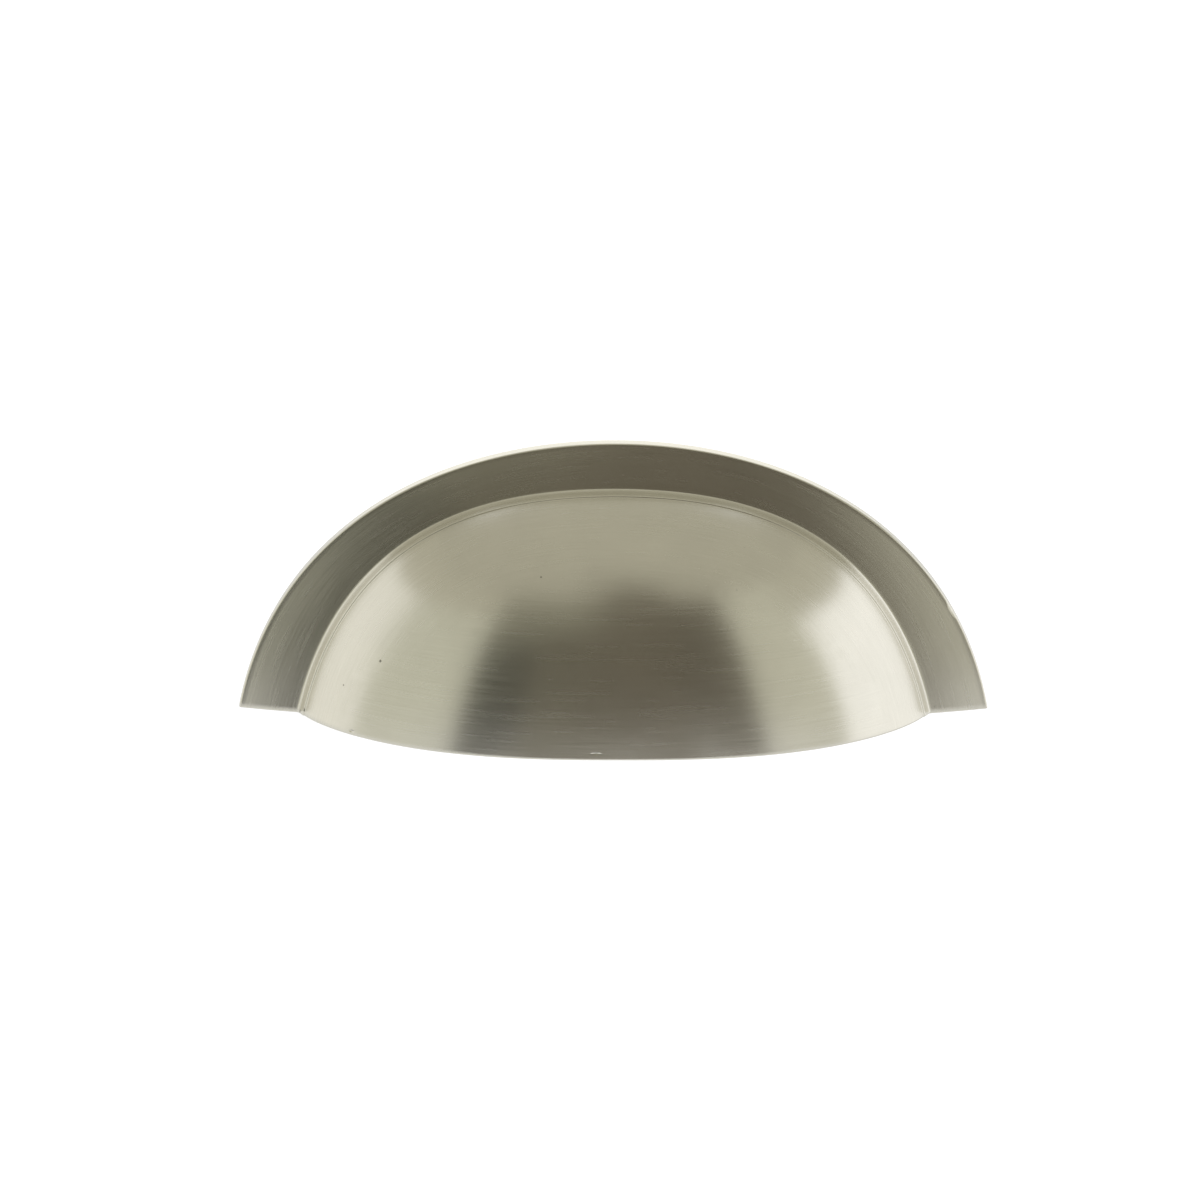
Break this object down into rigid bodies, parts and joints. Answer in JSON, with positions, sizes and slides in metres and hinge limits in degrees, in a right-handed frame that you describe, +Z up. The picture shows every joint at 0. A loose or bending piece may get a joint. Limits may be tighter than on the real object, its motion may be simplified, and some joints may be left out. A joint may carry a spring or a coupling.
{
  "type": "cup pull",
  "caption": "Half-dome cup pull for a drawer in satin nickel, with a dished flange and tapped screw bosses in its hollow",
  "frame": {"origin": "midway between the two screw axes, on the flat back that meets the drawer front", "axes": "+X to the pull's side along its width, +Y out of its back into the drawer front, +Z up; the dome stands out along -Y and opens downwards"},
  "size_m": [0.104, 0.0229, 0.0385],
  "materials": {
    "satin_nickel": "satin, brushed along the flange and across the dome"
  },
  "bodies": {
    "root": {"cup_pull_body": "satin_nickel"}
  },
  "joints": []
}
